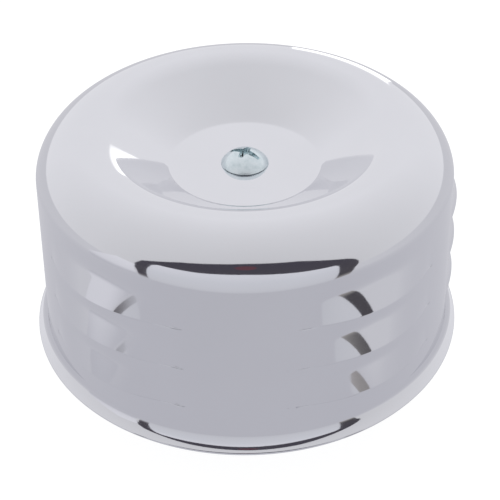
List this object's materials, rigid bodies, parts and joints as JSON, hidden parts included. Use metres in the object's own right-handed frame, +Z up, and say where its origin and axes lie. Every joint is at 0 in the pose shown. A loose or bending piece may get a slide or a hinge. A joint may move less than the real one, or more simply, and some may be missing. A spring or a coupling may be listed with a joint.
{
  "type": "air filter housing",
  "caption": "Round louvred air filter housing with a dished lift-off cover, pleated element, base plate and slotted clamp neck.",
  "frame": {"origin": "centre of the neck's mouth, on the surface that the housing stands on", "axes": "+Z up along the neck and the cover screw, -Y towards the viewer of the front, +X to the front's right"},
  "size_m": [0.1072, 0.1072, 0.0684],
  "materials": {
    "cover_chrome": "polished chrome plate",
    "zinc": "bright zinc plate",
    "black_rubber": "matt",
    "steel": "plated steel",
    "filter_paper": "resin treated paper",
    "orange_seal": "moulded plastisol"
  },
  "bodies": {
    "base": {"base_plate": "cover_chrome", "neck": "cover_chrome", "bridge_bracket": "steel", "bridge_rivets": "steel", "bridge_nut": "steel"},
    "cover": {"cover": "cover_chrome"},
    "cover_screw": {"cover_screw": "zinc", "screw_washer": "black_rubber", "screw_clip": "steel"},
    "element": {"element_media": "filter_paper", "media_seam_clip": "steel", "element_outer_screen": "steel", "element_inner_screen": "steel", "element_top_seal": "orange_seal", "element_bottom_seal": "orange_seal"},
    "clamp": {"clamp_band": "zinc", "clamp_washer": "zinc", "clamp_nut": "zinc"},
    "clamp_screw": {"clamp_screw": "zinc"}
  },
  "joints": [
    {"name": "cover_lift", "type": "slide", "parent": "base", "child": "cover", "axis": [0, 0, 1], "range_m": [0, 0.14]},
    {"name": "cover_screw_turn", "type": "hinge", "parent": "cover", "child": "cover_screw", "pos_m": [0, 0, 0.058], "axis": [0, 0, 1], "continuous": true},
    {"name": "element_lift", "type": "slide", "parent": "base", "child": "element", "axis": [0, 0, 1], "range_m": [0, 0.07]},
    {"name": "clamp_swivel", "type": "hinge", "parent": "base", "child": "clamp", "pos_m": [0, 0, 0.0065], "axis": [0, 0, 1], "continuous": true},
    {"name": "clamp_screw_turn", "type": "hinge", "parent": "clamp", "child": "clamp_screw", "pos_m": [0, 0.0412, 0.0065], "axis": [1, 0, 0], "continuous": true}
  ],
  "couplings": [
    {"joint": "element_lift", "follows": "cover_lift", "ratio": 0.5}
  ]
}
